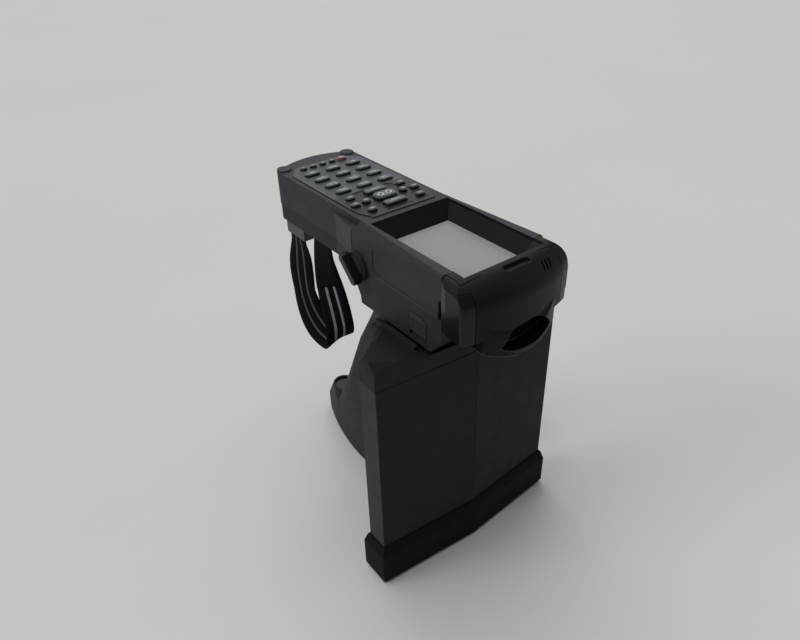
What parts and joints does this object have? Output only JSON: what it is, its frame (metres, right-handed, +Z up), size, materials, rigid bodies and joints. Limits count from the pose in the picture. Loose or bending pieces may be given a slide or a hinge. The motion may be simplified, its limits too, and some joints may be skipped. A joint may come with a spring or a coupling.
{
  "type": "data collector",
  "caption": "Rugged handheld keypad terminal with recessed display and scan nose, cradled on a pistol grip with battery foot and a flat V-faced antenna panel",
  "frame": {"origin": "on the floor under the middle of the bounding box, in the mirror plane of the terminal and panel", "axes": "+Z up, -Y towards the scan nose and the face of the antenna panel, +X to the right seen from the keypad end"},
  "size_m": [0.1848, 0.27, 0.2866],
  "materials": {
    "housing": "fine matt moulded texture",
    "plate": "satin blue-grey",
    "key": "satin",
    "power": "satin",
    "gloss": "glossy",
    "rubber": "matt",
    "display": "semi-gloss",
    "metal": "plain",
    "board": "solder mask",
    "grip": "matt",
    "panel": "matt",
    "webbing": "woven, two light stripes",
    "window": "dark red tinted"
  },
  "bodies": {
    "frame": {"upper_housing": "housing", "keypad_plate": "plate", "keymat": "rubber", "display_glass": "display", "display_module": "metal", "main_board": "board", "lower_housing": "housing", "nose_cap": "gloss", "bumper_left": "gloss", "bumper_right": "gloss", "indicator": "gloss", "scan_window": "window", "scan_engine": "metal", "lever_boss": "housing", "strap_bar": "gloss", "hand_strap": "webbing", "cradle": "grip", "antenna_front": "panel", "antenna_back": "panel", "antenna_board": "board", "battery_pack": "rubber", "panel_screws": "metal", "panel_foot": "rubber", "grip_left": "grip", "grip_right": "grip", "trigger_pin": "metal", "trigger_switch": "board", "base_shell": "grip"},
    "lever": {"lock_lever": "gloss"},
    "latch": {"side_latch": "housing"},
    "trigger_body": {"trigger": "gloss"},
    "release": {"battery_release": "gloss"},
    "key_1_body": {"key_1": "key"},
    "key_2_body": {"key_2": "key"},
    "key_3_body": {"key_3": "key"},
    "key_4_body": {"key_4": "key"},
    "key_5_body": {"key_5": "key"},
    "key_6_body": {"key_6": "key"},
    "key_7_body": {"key_7": "key"},
    "key_8_body": {"key_8": "key"},
    "key_9_body": {"key_9": "key"},
    "key_10_body": {"key_10": "key"},
    "key_11_body": {"key_11": "key"},
    "key_12_body": {"key_12": "key"},
    "key_13_body": {"key_13": "key"},
    "key_14_body": {"key_14": "key"},
    "key_15_body": {"key_15": "key"},
    "key_16_body": {"key_16": "key"},
    "key_17_body": {"key_17": "power"},
    "key_18_body": {"key_18": "key"},
    "key_19_body": {"key_19": "key"},
    "key_20_body": {"key_20": "key"},
    "key_21_body": {"key_21": "key"},
    "key_22_body": {"key_22": "key"},
    "key_23_body": {"key_23": "key"},
    "key_24_body": {"key_24": "key"},
    "key_25_body": {"key_25": "key"},
    "key_26_body": {"key_26": "key"},
    "key_27_body": {"key_27": "key"},
    "key_28_body": {"key_28": "key"}
  },
  "joints": [
    {"name": "lock_lever_turn", "type": "hinge", "parent": "frame", "child": "lever", "pos_m": [-0.0516, -0.0065, 0.2503], "axis": [-1, 0, 0], "range_deg": [-90, 0]},
    {"name": "side_latch_slide", "type": "slide", "parent": "frame", "child": "latch", "axis": [0, 0, -1], "range_m": [0, 0.004], "stiffness_N_per_m": 300, "springref_m": -0.001},
    {"name": "trigger_pull", "type": "hinge", "parent": "frame", "child": "trigger_body", "pos_m": [0, -0.0085, 0.17], "axis": [1, 0, 0], "range_deg": [0, 12], "stiffness_Nm_per_rad": 0.6, "springref_deg": -8.59},
    {"name": "battery_release_press", "type": "slide", "parent": "frame", "child": "release", "axis": [0, 0.1392, -0.9903], "range_m": [0, 0.002], "stiffness_N_per_m": 800, "springref_m": -0.001},
    {"name": "key_1_press", "type": "slide", "parent": "frame", "child": "key_1_body", "axis": [0, 0, -1], "range_m": [0, 0.0008], "stiffness_N_per_m": 400, "springref_m": -0.0004},
    {"name": "key_2_press", "type": "slide", "parent": "frame", "child": "key_2_body", "axis": [0, 0, -1], "range_m": [0, 0.0008], "stiffness_N_per_m": 400, "springref_m": -0.0004},
    {"name": "key_3_press", "type": "slide", "parent": "frame", "child": "key_3_body", "axis": [0, 0, -1], "range_m": [0, 0.0008], "stiffness_N_per_m": 400, "springref_m": -0.0004},
    {"name": "key_4_press", "type": "slide", "parent": "frame", "child": "key_4_body", "axis": [0, 0, -1], "range_m": [0, 0.0008], "stiffness_N_per_m": 400, "springref_m": -0.0004},
    {"name": "key_5_press", "type": "slide", "parent": "frame", "child": "key_5_body", "axis": [0, 0, -1], "range_m": [0, 0.0008], "stiffness_N_per_m": 400, "springref_m": -0.0004},
    {"name": "key_6_press", "type": "slide", "parent": "frame", "child": "key_6_body", "axis": [0, 0, -1], "range_m": [0, 0.0008], "stiffness_N_per_m": 400, "springref_m": -0.0004},
    {"name": "key_7_press", "type": "slide", "parent": "frame", "child": "key_7_body", "axis": [0, 0, -1], "range_m": [0, 0.0008], "stiffness_N_per_m": 400, "springref_m": -0.0004},
    {"name": "key_8_press", "type": "slide", "parent": "frame", "child": "key_8_body", "axis": [0, 0, -1], "range_m": [0, 0.0008], "stiffness_N_per_m": 400, "springref_m": -0.0004},
    {"name": "key_9_press", "type": "slide", "parent": "frame", "child": "key_9_body", "axis": [0, 0, -1], "range_m": [0, 0.0008], "stiffness_N_per_m": 400, "springref_m": -0.0004},
    {"name": "key_10_press", "type": "slide", "parent": "frame", "child": "key_10_body", "axis": [0, 0, -1], "range_m": [0, 0.0008], "stiffness_N_per_m": 400, "springref_m": -0.0004},
    {"name": "key_11_press", "type": "slide", "parent": "frame", "child": "key_11_body", "axis": [0, 0, -1], "range_m": [0, 0.0008], "stiffness_N_per_m": 400, "springref_m": -0.0004},
    {"name": "key_12_press", "type": "slide", "parent": "frame", "child": "key_12_body", "axis": [0, 0, -1], "range_m": [0, 0.0008], "stiffness_N_per_m": 400, "springref_m": -0.0004},
    {"name": "key_13_press", "type": "slide", "parent": "frame", "child": "key_13_body", "axis": [0, 0, -1], "range_m": [0, 0.0008], "stiffness_N_per_m": 400, "springref_m": -0.0004},
    {"name": "key_14_press", "type": "slide", "parent": "frame", "child": "key_14_body", "axis": [0, 0, -1], "range_m": [0, 0.0008], "stiffness_N_per_m": 400, "springref_m": -0.0004},
    {"name": "key_15_press", "type": "slide", "parent": "frame", "child": "key_15_body", "axis": [0, 0, -1], "range_m": [0, 0.0008], "stiffness_N_per_m": 400, "springref_m": -0.0004},
    {"name": "key_16_press", "type": "slide", "parent": "frame", "child": "key_16_body", "axis": [0, 0, -1], "range_m": [0, 0.0008], "stiffness_N_per_m": 400, "springref_m": -0.0004},
    {"name": "key_17_press", "type": "slide", "parent": "frame", "child": "key_17_body", "axis": [0, 0, -1], "range_m": [0, 0.0008], "stiffness_N_per_m": 400, "springref_m": -0.0004},
    {"name": "key_18_press", "type": "slide", "parent": "frame", "child": "key_18_body", "axis": [0, 0, -1], "range_m": [0, 0.0008], "stiffness_N_per_m": 400, "springref_m": -0.0004},
    {"name": "key_19_press", "type": "slide", "parent": "frame", "child": "key_19_body", "axis": [0, 0, -1], "range_m": [0, 0.0008], "stiffness_N_per_m": 400, "springref_m": -0.0004},
    {"name": "key_20_press", "type": "slide", "parent": "frame", "child": "key_20_body", "axis": [0, 0, -1], "range_m": [0, 0.0008], "stiffness_N_per_m": 400, "springref_m": -0.0004},
    {"name": "key_21_press", "type": "slide", "parent": "frame", "child": "key_21_body", "axis": [0, 0, -1], "range_m": [0, 0.0008], "stiffness_N_per_m": 400, "springref_m": -0.0004},
    {"name": "key_22_press", "type": "slide", "parent": "frame", "child": "key_22_body", "axis": [0, 0, -1], "range_m": [0, 0.0008], "stiffness_N_per_m": 400, "springref_m": -0.0004},
    {"name": "key_23_press", "type": "slide", "parent": "frame", "child": "key_23_body", "axis": [0, 0, -1], "range_m": [0, 0.0008], "stiffness_N_per_m": 400, "springref_m": -0.0004},
    {"name": "key_24_press", "type": "slide", "parent": "frame", "child": "key_24_body", "axis": [0, 0, -1], "range_m": [0, 0.0008], "stiffness_N_per_m": 400, "springref_m": -0.0004},
    {"name": "key_25_press", "type": "slide", "parent": "frame", "child": "key_25_body", "axis": [0, 0, -1], "range_m": [0, 0.0008], "stiffness_N_per_m": 400, "springref_m": -0.0004},
    {"name": "key_26_press", "type": "slide", "parent": "frame", "child": "key_26_body", "axis": [0, 0, -1], "range_m": [0, 0.0008], "stiffness_N_per_m": 400, "springref_m": -0.0004},
    {"name": "key_27_press", "type": "slide", "parent": "frame", "child": "key_27_body", "axis": [0, 0, -1], "range_m": [0, 0.0008], "stiffness_N_per_m": 400, "springref_m": -0.0004},
    {"name": "key_28_press", "type": "slide", "parent": "frame", "child": "key_28_body", "axis": [0, 0, -1], "range_m": [0, 0.0008], "stiffness_N_per_m": 400, "springref_m": -0.0004}
  ]
}
